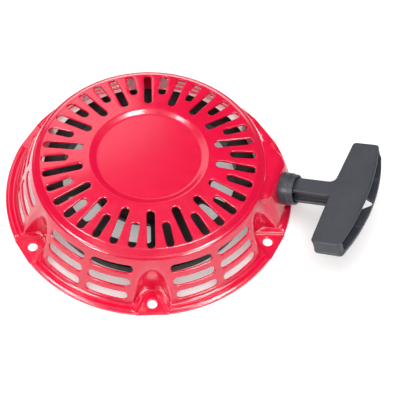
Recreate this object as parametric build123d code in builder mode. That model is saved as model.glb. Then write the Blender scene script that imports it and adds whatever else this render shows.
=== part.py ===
from build123d import *
from math import acos, atan2, cos, degrees, hypot, radians, sin, sqrt, tan
import os

os.makedirs("parts", exist_ok=True)

# Recoil starter for a small engine, in millimetres.
# Origin: centre of the mounting flange's bottom plane.  +Z: out through the vented top of the case.
# The six mounting holes lie at -90, -30, 30 ... degrees; the pull handle points towards +X, -Y.

# ---------------------------------------------------------------- driving dimensions
SHEET = 1.5                     # pressed steel thickness
FLANGE_R = 110.0
FLANGE_TOP = 2.2
FOOT_R = 102.8                  # where the cone meets the flange
CONE_TOP_R, CONE_TOP_Z = 88.3, 35.4
LEDGE_R, LEDGE_Z = 86.6, 38.9   # second shoulder
CREASE_R, CREASE_Z = 84.6, 39.6
BROW_R, BROW_Z = 80.6, 42.3     # first shoulder, outer edge of the vented ring
STEP_R, STEP_Z = 43.8, 45.5     # inner edge of the vented ring
DISC_R, DISC_Z = 39.3, 43.6     # recessed centre disc
CONE_TILT = degrees(atan2(FOOT_R - CONE_TOP_R, CONE_TOP_Z - FLANGE_TOP))

HOLE_COUNT = 6
HOLE_PCD_R = 101.1
HOLE_R = 3.6
HOLE_ANGLES = [60 * k - 90 for k in range(HOLE_COUNT)]
POCKET_CENTRE_R, POCKET_R = 101.4, 12.4
CASE_TALL = 60.0                # a height that clears the whole case

TOP_SLOTS = 36
SLOT_WIDTH = 5.8
LONG_SLOT, SHORT_SLOT = (49.7, 79.8), (59.9, 79.8)
# Each row of side slots: height, and degrees from a panel's middle to its nearer and further end.
SIDE_ROWS = [(29.8, 1.6, 21.6), (19.0, 1.6, 20.7), (8.3, 1.6, 19.8)]
SIDE_HEIGHT = 6.6
VENTED_PANELS = [60, 120, 180, 240, 300]

# Rope exit: a pressed box on the side of the case whose face is square to the pull direction.
PULL_TURN, PULL_RISE = -24.4, 18.5
EXIT_U, EXIT_V, EXIT_Z = 97.9, 26.6, 22.2
EXIT_LOW_V, EXIT_HIGH_V = 5.0, 46.0
EXIT_TOP = 35.0                 # top edge of the exit's face
EXIT_LID = [(60.0, 40.6), (80.0, 39.4)]   # the box's lid, as distance along the pull and height
EXIT_CORNER = 7.0
EXIT_HOLE_R = 9.2

ROPE_R = 2.5
ROPE_PITCH = 4.96               # neighbouring turns press into each other a little
REEL_TOP, REEL_BOTTOM = 26.5, 7.5
REEL_R, SKIRT_R = 80.0, 78.0    # the skirt hangs below the rope groove
RIM_R = 65.5                    # inside of the rim, outer edge of the windows
GROOVE_R = 68.0
GROOVE_TOP, GROOVE_BOTTOM = 25.2, 14.6
GROOVE_WALL = 1.3
HUB_R = 45.5
HUB_TOP, HUB_BOTTOM = 39.0, 18.0
CAVITY_R, CAVITY_FLOOR = 41.5, 24.0
SLEEVE_R = 11.5
# Windows of one half of the reel, first and last angle; the other half has the same ones.
WINDOWS = [(-124, -90), (-160, -135), (-181, -167), (-209, -190), (-226, -217)]
WEB_TOP, WEB_BOTTOM = 25.6, 22.6

POST_R, JOURNAL_R = 7.0, 5.5
FIT = 0.05                      # radial running clearance
SCREW_R = 3.0

PAWL_PIVOT_R = 24.0
PAWL_ANGLES = [20.0, 200.0]
PAWL_REST, PAWL_SWING = -100.0, 35.0
GUIDE_SWING = 30.0
PEG_REACH, TIP_REACH = 12.0, 26.0
PEG_R = 1.7
PAWL_TOP, PAWL_BOTTOM = 17.7, 12.4
GUIDE_R = 35.5
GUIDE_TOP, GUIDE_BOTTOM = 12.0, 8.6

NOSE_R, NOSE_LENGTH = 12.2, 11.6
SOCKET_R, SOCKET_FLOOR = 9.9, 6.6
SHANK_START, SHANK_HALF = 7.0, 6.75
BAR_FAR, BAR_NEAR = 47.2, -49.6             # the bar's two ends, measured sideways
FAR_INNER, FAR_OUTER = 42.3, 62.2
NEAR_INNER, NEAR_OUTER = 39.6, 61.2
BAR_JOIN, BAR_CROWN = 40.0, 67.6
GRIP_HALF = 7.0
WEB_HIGH, WEB_LOW = 5.0, -4.0   # the grip's recessed middle layer
SIDE_RECESS = 3.0
END_START = 26.0                # the middle layer fills out towards the bar's ends
FAR_CORNER, NEAR_CORNER = 5.0, 2.0          # fillets between shank and bar


def turned(x, y, angle):
    """The point (x, y) turned about the origin by an angle in degrees."""
    a = radians(angle)
    return (x * cos(a) - y * sin(a), x * sin(a) + y * cos(a))


def polar(radius, angle):
    return turned(radius, 0, angle)


def finish(builder, name):
    builder.part.label = name
    export_step(builder.part, f"parts/{name}.step")
    print(name, len(builder.part.solids()), round(builder.part.volume))


# ---------------------------------------------------------------- frames
pull_x, pull_y = polar(cos(radians(PULL_RISE)), PULL_TURN)
pull = Vector(pull_x, pull_y, sin(radians(PULL_RISE)))
side_x, side_y = polar(1, PULL_TURN + 90)
side = Vector(side_x, side_y, 0)
up = pull.cross(side)
exit_x, exit_y = turned(EXIT_U, EXIT_V, PULL_TURN)
exit_point = Vector(exit_x, exit_y, EXIT_Z)

upright = Plane(origin=(0, 0, 0), x_dir=(1, 0, 0), z_dir=(0, -1, 0))        # radius, height
box_section = Plane(origin=(0, 0, 0), x_dir=polar(1, PULL_TURN) + (0,), z_dir=-side)
across_pull = Plane(origin=exit_point, x_dir=side, z_dir=pull)               # square to the rope
along_pull = Plane(origin=exit_point, x_dir=pull, z_dir=up)                  # the grip's flat plane


def on_pull(distance, sideways=0.0, height=0.0):
    """A point given by its distance out along the pull direction."""
    return exit_point + pull * distance + side * sideways + up * height


# ---------------------------------------------------------------- case
def shell_profile(inset):
    """Outline of the pressed case in radius and height, moved inwards by inset."""
    corners = [
        (0, DISC_Z), (DISC_R, DISC_Z), (STEP_R, STEP_Z), (BROW_R, BROW_Z),
        (CREASE_R, CREASE_Z), (LEDGE_R, LEDGE_Z), (CONE_TOP_R, CONE_TOP_Z),
        (FOOT_R, FLANGE_TOP), (FLANGE_R, FLANGE_TOP), (FLANGE_R, 0),
    ]
    lines = []
    for (r0, z0), (r1, z1) in zip(corners, corners[1:]):
        length = hypot(r1 - r0, z1 - z0)
        dr, dz = (r1 - r0) / length, (z1 - z0) / length
        lines.append((r0 + inset * dz, z0 - inset * dr, dr, dz))
    moved = [(0, DISC_Z - inset)]
    for (r0, z0, dr0, dz0), (r1, z1, dr1, dz1) in zip(lines, lines[1:]):
        t = ((r1 - r0) * dz1 - (z1 - z0) * dr1) / (dr0 * dz1 - dz0 * dr1)
        moved.append((r0 + t * dr0, z0 + t * dz0))
    moved.append((FLANGE_R - inset, -inset))
    return moved


def dome(inset, radii):
    with BuildPart() as body:
        with BuildSketch(upright):
            with BuildLine():
                points = shell_profile(inset)
                FilletPolyline(*points, radius=radii)
                Polyline(points[-1], (0, points[-1][1]), points[0])
            make_face()
        revolve(axis=Axis.Z)
    return body.part


def exit_box(inset):
    """Pressed box around the rope exit, moved inwards by inset."""
    slope = tan(radians(PULL_RISE))
    face = EXIT_U - inset / cos(radians(PULL_RISE))
    with BuildPart() as body:
        with BuildSketch(box_section.offset(-EXIT_HIGH_V + inset)):
            with BuildLine():
                Polyline(
                    (EXIT_LID[0][0], -inset), *[(u, z - inset) for u, z in EXIT_LID],
                    (face + (EXIT_Z - EXIT_TOP + inset) * slope, EXIT_TOP - inset),
                    (face + (EXIT_Z + inset) * slope, -inset), close=True,
                )
            make_face()
        extrude(amount=EXIT_HIGH_V - EXIT_LOW_V - 2 * inset)
        uprights = body.edges().filter_by(lambda e: abs((e @ 0 - e @ 1).Z) > EXIT_TOP / 2)
        fillet(uprights.sort_by(Axis((0, 0, 0), (pull.X, pull.Y, 0)))[-2:], EXIT_CORNER - inset)
        with BuildSketch(Plane.XY.offset(-inset)):
            Circle(FLANGE_R - 1.0 - inset)
        extrude(amount=CASE_TALL, mode=Mode.INTERSECT)
    return body.part


def bolt_notches(half_width, bottom):
    """Arched notches in the cone that give each mounting bolt its room."""
    with BuildPart() as body:
        for angle in HOLE_ANGLES:
            with BuildSketch(Plane.XY.offset(bottom).rotated((0, 0, angle))):
                with Locations((POCKET_CENTRE_R, 0)):
                    Circle(half_width)
                with Locations((POCKET_CENTRE_R, 0)):
                    Rectangle(FLANGE_R, 2 * half_width, align=(Align.MIN, Align.CENTER))
            extrude(amount=CASE_TALL)
    return body.part


with BuildPart() as hollow:
    add(dome(SHEET, [1.5, 4.0, 2.0, 2.5, 1.0, 4.0, 1.6, 0.4]))
    add(exit_box(SHEET))
    add(bolt_notches(POCKET_R + SHEET, -2 * SHEET), mode=Mode.SUBTRACT)


def cone_radius(height):
    return FOOT_R - (height - FLANGE_TOP) * tan(radians(CONE_TILT))


def radial_slots(span, first_angle):
    """One ring of slots through the top, from span[0] to span[1] outwards."""
    with PolarLocations(sum(span) / 2, TOP_SLOTS // 2, start_angle=first_angle):
        SlotOverall(span[1] - span[0], SLOT_WIDTH)


def side_slot_planes(height, near, far):
    """Planes on the cone for one row of side slots, two slots in every vented panel."""
    tilt = radians(CONE_TILT)
    r = cone_radius(height)
    planes = []
    for panel in VENTED_PANELS:
        for angle in (panel - (near + far) / 2, panel + (near + far) / 2):
            planes.append(Plane(
                origin=polar(r, angle) + (height,),
                x_dir=polar(1, angle + 90) + (0,),
                z_dir=polar(cos(tilt), angle) + (sin(tilt),),
            ))
    return planes


with BuildPart() as starter_case:
    add(dome(0, [2.5, 2.5, 3.5, 1.2, 2.5, 3.0, 3.0, 1.2]))
    add(exit_box(0))
    add(bolt_notches(POCKET_R, SHEET), mode=Mode.SUBTRACT)
    add(hollow.part, mode=Mode.SUBTRACT)
    with BuildSketch(Plane.XY.offset(BROW_Z - 3 * SHEET)):
        radial_slots(LONG_SLOT, HOLE_ANGLES[0])
        radial_slots(SHORT_SLOT, HOLE_ANGLES[0] + 360 / TOP_SLOTS)
    extrude(amount=CASE_TALL, mode=Mode.SUBTRACT)
    for height, near, far in SIDE_ROWS:
        with BuildSketch(*side_slot_planes(height, near, far)):
            SlotOverall(2 * cone_radius(height) * sin(radians(far - near) / 2), SIDE_HEIGHT)
    extrude(amount=3 * SHEET, both=True, mode=Mode.SUBTRACT)
    with BuildSketch(Plane.XY):
        with PolarLocations(HOLE_PCD_R, HOLE_COUNT, start_angle=HOLE_ANGLES[0]):
            Circle(HOLE_R)
    extrude(amount=3 * SHEET, mode=Mode.SUBTRACT)
    with BuildSketch(across_pull):
        Circle(EXIT_HOLE_R)
    extrude(amount=5 * SHEET, both=True, mode=Mode.SUBTRACT)
finish(starter_case, "starter_case")


# ---------------------------------------------------------------- fixed pieces inside the case
def turned_piece(outline):
    """A solid of revolution about Z from a closed outline of (radius, height) points."""
    with BuildPart() as body:
        with BuildSketch(upright):
            Polygon(*outline, align=None)
        revolve(axis=Axis.Z)
    return body


POST_TOP = DISC_Z - SHEET
POST_END = 8.45
POST_FLANGE_R, POST_FLANGE = 11.8, 1.4      # disc by which the post is fixed to the case
BOLT_DEPTH = 22.0
center_post = turned_piece([
    (SCREW_R + FIT, POST_END), (JOURNAL_R, POST_END), (JOURNAL_R, HUB_BOTTOM), (POST_R, HUB_BOTTOM),
    (POST_R, POST_TOP - POST_FLANGE), (POST_FLANGE_R, POST_TOP - POST_FLANGE),
    (POST_FLANGE_R, POST_TOP), (0, POST_TOP), (0, BOLT_DEPTH + 1), (SCREW_R + FIT, BOLT_DEPTH + 1),
])
finish(center_post, "center_post")

HOOK_INNER, HOOK_OUTER = 12.5, 13.9
HOOK_SPAN, HOOK_LOW = 50, 28.0
with BuildPart() as spring_hook:
    with BuildSketch(Plane.XY.offset(HOOK_LOW)):
        Circle(HOOK_OUTER)
        Circle(HOOK_INNER, mode=Mode.SUBTRACT)
        with BuildLine():
            far = 2 * HOOK_OUTER
            Polyline((0, 0), polar(far, 0), polar(far, HOOK_SPAN), (0, 0))
        make_face(mode=Mode.INTERSECT)
    extrude(amount=POST_TOP - HOOK_LOW)
finish(spring_hook, "spring_hook")


def washer(inner, outer, bottom, top):
    return turned_piece([(inner, bottom), (outer, bottom), (outer, top), (inner, top)])


thrust_washer = washer(JOURNAL_R + FIT, 11.0, HUB_BOTTOM - FIT - 1.0, HUB_BOTTOM - FIT)
finish(thrust_washer, "thrust_washer")

SEAT = POST_END - FIT           # the screw washer bears on the end of the post
WASHER_THICK = 1.1
screw_washer = washer(SCREW_R + 0.1, 8.8, SEAT - WASHER_THICK, SEAT)
finish(screw_washer, "screw_washer")

HEAD_HEX, HEAD_HEIGHT = 10.0, 3.6           # across flats
COLLAR_R, COLLAR_THICK = 7.6, 0.75
COLLAR_TOP = SEAT - WASHER_THICK - FIT
HEAD_TOP = COLLAR_TOP - COLLAR_THICK
with BuildPart() as center_screw:
    with BuildSketch(Plane.XY.offset(HEAD_TOP - HEAD_HEIGHT)):
        RegularPolygon(HEAD_HEX / sqrt(3), 6)
    extrude(amount=HEAD_HEIGHT)
    chamfer(center_screw.faces().sort_by(Axis.Z)[0].edges(), 0.6)
    with BuildSketch(Plane.XY.offset(HEAD_TOP)):
        Circle(COLLAR_R)
    extrude(amount=COLLAR_THICK)
    with BuildSketch(Plane.XY.offset(COLLAR_TOP)):
        Circle(SCREW_R)
    extrude(amount=BOLT_DEPTH - COLLAR_TOP)
finish(center_screw, "center_screw")

NECK_R = EXIT_HOLE_R - 0.1
CLIP_LOW, CLIP_HIGH = -3.2, -SHEET - 0.2
BORE_R = 3.4                    # the guide's throat
with BuildPart() as rope_guide:
    with BuildSketch(Plane(origin=exit_point, x_dir=side, z_dir=-up)):
        with BuildLine():
            Polyline(
                (7.6, -5.0), (NECK_R, -5.0), (NECK_R, CLIP_LOW), (NECK_R - 1, CLIP_LOW),
                (NECK_R - 1, CLIP_HIGH), (NECK_R, CLIP_HIGH), (NECK_R, 0.1), (NOSE_R, 0.1),
                (NOSE_R, NOSE_LENGTH), (SOCKET_R, NOSE_LENGTH), (SOCKET_R, SOCKET_FLOOR),
                (BORE_R, SOCKET_FLOOR), (BORE_R, 3.0), close=True,
            )
        make_face()
    revolve(axis=Axis(exit_point, pull))
    circles = rope_guide.edges().filter_by(GeomType.CIRCLE)
    fillet(circles.filter_by(lambda e: abs(e.radius - NOSE_R) < 0.01), 0.9)
finish(rope_guide, "rope_guide")

with BuildPart() as guide_clip:
    with BuildSketch(across_pull.offset(CLIP_LOW + 0.1)):
        Circle(NECK_R + 2.6)
        Circle(NECK_R - 0.9, mode=Mode.SUBTRACT)
        with Locations((0, -NECK_R)):
            Rectangle(7, 2 * NECK_R, mode=Mode.SUBTRACT)
    extrude(amount=CLIP_HIGH - CLIP_LOW - 0.2)
finish(guide_clip, "guide_clip")


# ---------------------------------------------------------------- reel
def window(first_angle, last_angle, inner, outer):
    """Cutter for a rounded ring sector of the web, between two radii and two angles."""
    middle = (first_angle + last_angle) / 2
    with BuildPart() as cutter:
        with BuildSketch(Plane.XY.offset(WEB_BOTTOM - 1)):
            with BuildLine():
                ThreePointArc(polar(outer, first_angle), polar(outer, middle), polar(outer, last_angle))
                Line(polar(outer, last_angle), polar(inner, last_angle))
                ThreePointArc(polar(inner, last_angle), polar(inner, middle), polar(inner, first_angle))
                Line(polar(inner, first_angle), polar(outer, first_angle))
            make_face()
        extrude(amount=WEB_TOP - WEB_BOTTOM + 2)
        fillet(cutter.edges().filter_by(Axis.Z), 3.0)
    return cutter.part


KNOT_ANGLE, KNOT_R = -68.0, 58.0
PAWL_PIN_R, PAWL_SPRING_ROOM = 3.0, 6.2
ROPE_LOW, ROPE_HIGH = 17.42, 22.38
with BuildPart() as reel:
    with BuildSketch(upright):
        Polygon(
            (POST_R + FIT, HUB_BOTTOM), (HUB_R, HUB_BOTTOM), (HUB_R, WEB_BOTTOM), (RIM_R, WEB_BOTTOM),
            (RIM_R, GROOVE_BOTTOM - GROOVE_WALL), (SKIRT_R, GROOVE_BOTTOM - GROOVE_WALL),
            (SKIRT_R, REEL_BOTTOM), (REEL_R, REEL_BOTTOM), (REEL_R, GROOVE_BOTTOM), (GROOVE_R, GROOVE_BOTTOM),
            (GROOVE_R, GROOVE_TOP), (REEL_R, GROOVE_TOP), (REEL_R, REEL_TOP), (RIM_R, REEL_TOP),
            (RIM_R, WEB_TOP), (HUB_R, WEB_TOP), (HUB_R, HUB_TOP), (CAVITY_R, HUB_TOP),
            (CAVITY_R, CAVITY_FLOOR), (SLEEVE_R, CAVITY_FLOOR), (SLEEVE_R, HUB_TOP), (POST_R + FIT, HUB_TOP),
            align=None,
        )
    revolve(axis=Axis.Z)
    for first, last in WINDOWS:
        for half_turn in (0, 180):
            add(
                window(first + half_turn, last + half_turn, HUB_R + 2, RIM_R - 0.01),
                mode=Mode.SUBTRACT,
            )
    radial = Plane(origin=(0, 0, ROPE_LOW), x_dir=(0, 0, 1), z_dir=polar(1, KNOT_ANGLE) + (0,))
    with BuildSketch(radial.offset(KNOT_R)):
        Circle(ROPE_R + 0.15)
    extrude(amount=GROOVE_R - KNOT_R + 1, mode=Mode.SUBTRACT)
    with BuildSketch(Plane.XY.offset(HUB_BOTTOM)):
        with Locations(*[polar(PAWL_PIVOT_R, a) for a in PAWL_ANGLES]):
            Circle(PAWL_PIN_R + FIT)
    extrude(amount=5, mode=Mode.SUBTRACT)
    with BuildSketch(Plane.XY.offset(HUB_BOTTOM)):
        with Locations(*[polar(PAWL_PIVOT_R, a) for a in PAWL_ANGLES]):
            Circle(PAWL_SPRING_ROOM)
    extrude(amount=3, mode=Mode.SUBTRACT)
    circles = reel.edges().filter_by(GeomType.CIRCLE)
    fillet(circles.filter_by(lambda e: abs(e.radius - REEL_R) < 0.01), 0.5)
finish(reel, "reel")

SPRING_INNER, SPRING_STEP, SPRING_TURNS = 15.4, 2.0, 11
SPRING_LOW, STRIP_WIDTH, STRIP = 25.0, 12.5, 0.8


def spiral_side(shift):
    """Half circles of a growing spiral, moved outwards by shift."""
    arcs = []
    x_end = SPRING_INNER + shift
    for k in range(2 * SPRING_TURNS):
        sign = 1 if k % 2 == 0 else -1
        radius = SPRING_INNER + k * SPRING_STEP / 2 + SPRING_STEP / 4 + shift
        middle = x_end - sign * radius
        arcs.append(ThreePointArc((x_end, 0), (middle, sign * radius), (middle - sign * radius, 0)))
        x_end = middle - sign * radius
    return arcs


with BuildPart() as recoil_spring:
    with BuildSketch(Plane.XY.offset(SPRING_LOW)):
        with BuildLine():
            inner_side = spiral_side(-STRIP / 2)
            outer_side = spiral_side(STRIP / 2)
            Line(inner_side[0] @ 0, outer_side[0] @ 0)
            Line(inner_side[-1] @ 1, outer_side[-1] @ 1)
        make_face()
    extrude(amount=STRIP_WIDTH)
finish(recoil_spring, "recoil_spring")

# The rope: two layers of two turns in the groove.  The last turn stops where the rope leaves the reel.
LAYER_IN, LAYER_OUT = 70.6, 70.6 + ROPE_PITCH
LEAVE_R, LEAVE_Z = LAYER_OUT + 0.3, 22.7
corner = on_pull(-3.0)
corner_r = hypot(corner.X, corner.Y)
leave_angle = degrees(atan2(corner.Y, corner.X)) + degrees(acos(LEAVE_R / corner_r))
leave_point = Vector(*polar(LEAVE_R, leave_angle), LEAVE_Z)

with BuildPart() as rope_coil:
    with BuildSketch(upright):
        with Locations((LAYER_IN, ROPE_LOW), (LAYER_IN, ROPE_HIGH), (LAYER_OUT, ROPE_LOW)):
            Circle(ROPE_R)
    revolve(axis=Axis.Z)
    last_turn = Plane(origin=(0, 0, 0), x_dir=polar(1, leave_angle + 1) + (0,),
                      z_dir=polar(1, leave_angle - 89) + (0,))
    with BuildSketch(last_turn):
        with Locations((LAYER_OUT, ROPE_HIGH)):
            Circle(ROPE_R)
    revolve(axis=Axis.Z, revolution_arc=300)
    with BuildSketch(radial.offset(KNOT_R + 2)):
        Circle(ROPE_R)
    extrude(amount=LAYER_IN - KNOT_R - 2)
    with Locations(Vector(*polar(KNOT_R, KNOT_ANGLE), ROPE_LOW)):
        Sphere(4.4)
finish(rope_coil, "rope_coil")

# ---------------------------------------------------------------- pawls and their drive
for name, angle in zip(("pawl_a", "pawl_b"), PAWL_ANGLES):
    at = Plane(origin=polar(PAWL_PIVOT_R, angle) + (0,), x_dir=polar(1, angle + PAWL_REST) + (0,),
               z_dir=(0, 0, 1))
    with BuildPart() as pawl:
        with BuildSketch(at.offset(PAWL_BOTTOM)):
            Circle(5)
            with Locations((13, 0.3)):
                Circle(3.8)
            with Locations((TIP_REACH - 1.2, 0.6)):
                Rectangle(2.4, 5.4)
            make_hull()
        extrude(amount=PAWL_TOP - PAWL_BOTTOM)
        uprights = pawl.edges().filter_by(GeomType.LINE).filter_by(Axis.Z)
        fillet(uprights.sort_by(Axis(at.origin, at.x_dir))[-2:], 0.6)
        with BuildSketch(at.offset(PAWL_TOP)):
            Circle(PAWL_PIN_R)
        extrude(amount=22.6 - PAWL_TOP)
        with BuildSketch(at.offset(GUIDE_BOTTOM + 0.2)):
            with Locations((PEG_REACH, 0)):
                Circle(PEG_R)
        extrude(amount=PAWL_BOTTOM - GUIDE_BOTTOM - 0.2)
    finish(pawl, name)

COIL_R, WIRE_R = 4.6, 0.6
for name, angle in zip(("pawl_spring_a", "pawl_spring_b"), PAWL_ANGLES):
    at = Plane(origin=polar(PAWL_PIVOT_R, angle) + (18.1,), x_dir=polar(1, angle) + (0,), z_dir=(0, 0, 1))
    with BuildPart() as pawl_spring:
        with BuildSketch(Plane(origin=at.origin, x_dir=at.x_dir, z_dir=-at.y_dir)):
            with Locations((COIL_R, WIRE_R), (COIL_R, WIRE_R + 1.1)):
                Circle(WIRE_R)
        revolve(axis=Axis(at.origin, (0, 0, 1)))
    finish(pawl_spring, name)


def peg_in_guide(share):
    """Where a pawl's peg stands in the ratchet guide once it has turned by a share of its swing."""
    reach = turned(PEG_REACH, 0, PAWL_REST + share * PAWL_SWING)
    return turned(PAWL_PIVOT_R + reach[0], reach[1], -share * GUIDE_SWING)


with BuildPart() as ratchet_guide:
    with BuildSketch(Plane.XY.offset(GUIDE_BOTTOM)):
        Circle(GUIDE_R)
    extrude(amount=GUIDE_TOP - GUIDE_BOTTOM)
    with BuildSketch(Plane.XY.offset(GUIDE_TOP)):
        Circle(9.5)
    extrude(amount=4.8)
    with BuildSketch(Plane.XY.offset(GUIDE_BOTTOM)):
        Circle(JOURNAL_R + FIT)
    extrude(amount=9, mode=Mode.SUBTRACT)
    for angle in PAWL_ANGLES:
        stops = [turned(*peg_in_guide(share), angle) for share in (-0.04, 0.5, 1.04)]
        with BuildSketch(Plane.XY.offset(GUIDE_BOTTOM)):
            SlotArc(ThreePointArc(*stops), 2 * PEG_R + 0.9)
        extrude(amount=GUIDE_TOP - GUIDE_BOTTOM, mode=Mode.SUBTRACT)
    with BuildSketch(Plane.XY.offset(GUIDE_BOTTOM)):
        with Locations(*[polar(21, a + 60) for a in PAWL_ANGLES]):
            Circle(6)
    extrude(amount=GUIDE_TOP - GUIDE_BOTTOM, mode=Mode.SUBTRACT)
finish(ratchet_guide, "ratchet_guide")

with BuildPart() as friction_spring:
    with BuildSketch(upright):
        with Locations((9.55 + WIRE_R, 14.4)):
            Circle(WIRE_R)
    revolve(axis=Axis.Z, revolution_arc=310)
finish(friction_spring, "friction_spring")


# ---------------------------------------------------------------- grip
def grip_layer(bottom, height, inset=0.0, crown=BAR_CROWN):
    """One layer of the T shaped grip, moved inwards by inset."""
    near, far, neck = BAR_NEAR + inset, BAR_FAR - inset, SHANK_HALF - inset
    with BuildPart() as body:
        with BuildSketch(along_pull.offset(bottom)):
            with BuildLine():
                Polyline((NEAR_OUTER - inset, near), (NEAR_INNER + inset, near), (BAR_JOIN + inset, -neck),
                         (SHANK_START, -neck), (SHANK_START, neck), (BAR_JOIN + inset, neck),
                         (FAR_INNER + inset, far), (FAR_OUTER - inset, far))
                ThreePointArc((FAR_OUTER - inset, far), (crown - inset, 0), (NEAR_OUTER - inset, near))
            make_face()
        extrude(amount=height)
        uprights = body.edges().filter_by(Axis(exit_point, up)).sort_by(Axis(exit_point, side))
        fillet(uprights[:2] + uprights[-2:], 3.0)
        junctions = [e for e in uprights[2:-2] if (e @ 0 - exit_point).dot(pull) > SHANK_START + 1]
        fillet(junctions[0], NEAR_CORNER + inset)
        fillet(junctions[1], FAR_CORNER + inset)
    return body.part


WALL = 4.0                      # the bar's two end walls
CELL_START = 50.0
CELL_RIBS = ((-8.4, 64), (7.4, 64), (-22.5, 61), (22.5, 61))   # sideways, and how far out each rib ends
RIB = 1.8
with BuildPart() as grip_hollow:
    with BuildSketch(along_pull.offset(WEB_LOW)):
        with Locations((CELL_START, (BAR_NEAR + BAR_FAR) / 2)):
            Rectangle(BAR_CROWN, BAR_FAR - BAR_NEAR - 2 * WALL, align=(Align.MIN, Align.CENTER))
        for sideways, outer in CELL_RIBS:
            with Locations((outer / 2, sideways)):
                Rectangle(outer, RIB, mode=Mode.SUBTRACT)
        Rectangle(2 * 56, 16, mode=Mode.SUBTRACT)
    extrude(amount=WEB_HIGH - WEB_LOW)

with BuildPart() as bar_ends:
    add(grip_layer(WEB_LOW, WEB_HIGH - WEB_LOW))
    with BuildSketch(along_pull.offset(WEB_LOW)):
        Rectangle(3 * BAR_CROWN, 2 * END_START)
    extrude(amount=WEB_HIGH - WEB_LOW, mode=Mode.SUBTRACT)

# Hole under the middle cell by which the rope's knot is put in: two circles and their tangents.
KNOT_HOLE = ((57.0, -1.5, 8.0), (66.4, -0.6, 3.0))
with BuildPart() as handle_grip:
    add(grip_layer(-GRIP_HALF, WEB_LOW + GRIP_HALF, crown=BAR_CROWN + 2.4))
    add(grip_layer(WEB_HIGH, GRIP_HALF - WEB_HIGH))
    add(grip_layer(WEB_LOW, WEB_HIGH - WEB_LOW, inset=SIDE_RECESS, crown=BAR_CROWN + SIDE_RECESS))
    add(bar_ends.part)
    add(grip_hollow.part, mode=Mode.SUBTRACT)
    with BuildSketch(along_pull.offset(-GRIP_HALF)):
        for out, sideways, radius in KNOT_HOLE:
            with Locations((out, sideways)):
                Circle(radius)
        make_hull()
    extrude(amount=GRIP_HALF + WEB_LOW, mode=Mode.SUBTRACT)
    with BuildSketch(across_pull.offset(SHANK_START)):
        Circle(ROPE_R + 0.3)
    extrude(amount=60 - SHANK_START, mode=Mode.SUBTRACT)
finish(handle_grip, "handle_grip")

with BuildPart() as knot_washer:
    with BuildSketch(across_pull.offset(56.05)):
        Rectangle(11, 7.6)
        Circle(ROPE_R + 0.3, mode=Mode.SUBTRACT)
    extrude(amount=1.4)
finish(knot_washer, "knot_washer")

KNOT_OUT = 62.2
ROPE_BEND = 16.0
with BuildPart() as rope_lead:
    with BuildLine():
        FilletPolyline(leave_point, corner, on_pull(KNOT_OUT - 3), radius=ROPE_BEND)
    with BuildSketch(Plane(origin=leave_point, z_dir=corner - leave_point)):
        Circle(ROPE_R)
    sweep()
    with Locations(on_pull(KNOT_OUT, height=0.45)):
        Sphere(4.2)
finish(rope_lead, "rope_lead")
print("rope bend radius", ROPE_BEND, "turn", round((corner - leave_point).get_angle(pull), 1))
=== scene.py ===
import math

import bmesh
import bpy
import numpy as np
from mathutils import Matrix, Vector
from mathutils.geometry import delaunay_2d_cdt


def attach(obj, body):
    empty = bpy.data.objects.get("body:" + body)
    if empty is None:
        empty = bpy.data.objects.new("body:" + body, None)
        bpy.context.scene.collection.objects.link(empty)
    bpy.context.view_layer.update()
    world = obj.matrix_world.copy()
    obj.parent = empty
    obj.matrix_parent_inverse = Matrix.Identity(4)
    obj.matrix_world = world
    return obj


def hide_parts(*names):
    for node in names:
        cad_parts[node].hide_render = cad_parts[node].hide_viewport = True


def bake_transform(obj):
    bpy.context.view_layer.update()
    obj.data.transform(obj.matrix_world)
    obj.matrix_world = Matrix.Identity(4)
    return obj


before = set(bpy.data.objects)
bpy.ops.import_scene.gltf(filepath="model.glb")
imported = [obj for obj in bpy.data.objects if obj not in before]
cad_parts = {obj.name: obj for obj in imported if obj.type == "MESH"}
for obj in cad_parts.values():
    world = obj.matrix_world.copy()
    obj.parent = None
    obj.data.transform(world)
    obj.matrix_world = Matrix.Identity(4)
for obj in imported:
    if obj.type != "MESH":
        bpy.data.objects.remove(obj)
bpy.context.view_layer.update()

# Recoil starter.  Shapes are worked out in millimetres and degrees, and turned into metres when a mesh
# is made.
MM = 0.001
PULL_TURN, PULL_RISE = -24.4, 18.5      # the rope's line: turned about Z, and raised from the flange


# ---------------------------------------------------------------- camera, light and floor
CAMERA_TURN, CAMERA_TILT, CAMERA_ROLL = -5.43, 34.66, 3.41      # degrees
CAMERA_AT = (-0.00513, -0.47026, 0.66800)
CAMERA_LENS, CAMERA_SENSOR = 94.93, 36.0
WORLD_STRENGTH = 0.08
FILL_LIGHT = ((0.0, -0.3, 1.7), (2.4, 2.4), 46.0)                # place, size, power
BACK_LIGHT = ((-0.62, 1.3, 1.25), (1.2, 1.0), 5.5)
STRIPS = {                                                       # lights that only show as highlights
    "right_strip": ((0.42, -0.12, 1.45), (0.16, 0.66), 9.0),
    "left_strip": ((-0.68, 0.0, 1.4), (0.3, 0.4), 6.0),
    "front_left_strip": ((-0.85, -0.8, 0.7), (0.4, 0.25), 13.0),
    "front_right_strip": ((0.7, -0.92, 0.72), (0.4, 0.25), 13.0),
}
LIGHT_AIM = (0.0, 0.0, 0.03)
FLOOR_HALF, FLOOR_DROP = 3.0, 0.0002
FLOOR_GLOW = 0.3


def look(turn, tilt, roll):
    """A rotation that looks down by 90 - tilt degrees, turned about Z."""
    return (Matrix.Rotation(math.radians(turn), 4, "Z") @ Matrix.Rotation(math.radians(tilt), 4, "X")
            @ Matrix.Rotation(math.radians(roll), 4, "Z"))


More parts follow.
